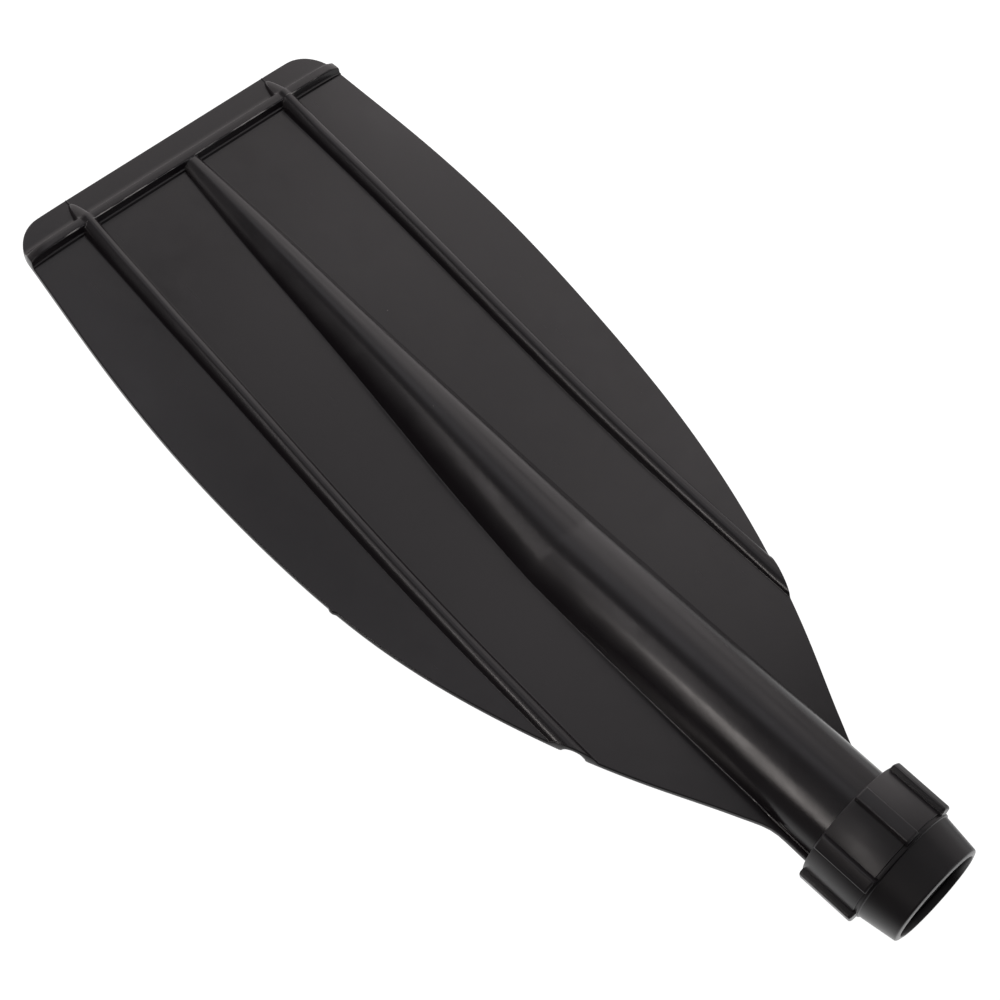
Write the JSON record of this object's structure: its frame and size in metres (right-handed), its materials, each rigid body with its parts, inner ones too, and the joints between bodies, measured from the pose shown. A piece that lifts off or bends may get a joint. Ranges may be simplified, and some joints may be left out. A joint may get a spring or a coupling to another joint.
{
  "type": "telescopic paddle blade",
  "caption": "Moulded paddle blade with ribs and a tubular socket, closed by a screwed clamp nut that squeezes a split collet on the telescopic shaft.",
  "frame": {"origin": "centre of the socket's stop face, where the end of the shaft lands, on the shaft's axis", "axes": "+X along the shaft and out of the socket's mouth, +Z on the ribbed side of the blade, +Y across the blade"},
  "size_m": [0.3962, 0.1724, 0.068],
  "materials": {
    "blade_plastic": "satin black moulded nylon with glass fibre",
    "nut_plastic": "finely grained black moulded nylon",
    "collet_plastic": "dark grey acetal",
    "seal_rubber": "black nitrile rubber"
  },
  "bodies": {
    "root": {"blade": "blade_plastic", "slip_washer": "collet_plastic", "seal_ring": "seal_rubber"},
    "collet": {"split_collet": "collet_plastic"},
    "nut": {"clamp_nut": "nut_plastic"}
  },
  "joints": [
    {"name": "nut_travel", "type": "slide", "parent": "root", "child": "collet", "axis": [1, 0, 0], "range_m": [0, 0.0226]},
    {"name": "nut_turn", "type": "hinge", "parent": "collet", "child": "nut", "pos_m": [0.1194, 0, 0], "axis": [1, 0, 0], "range_deg": [0, 2025]}
  ],
  "couplings": [
    {"joint": "nut_travel", "follows": "nut_turn", "m_per_rad": 0.00063662}
  ]
}
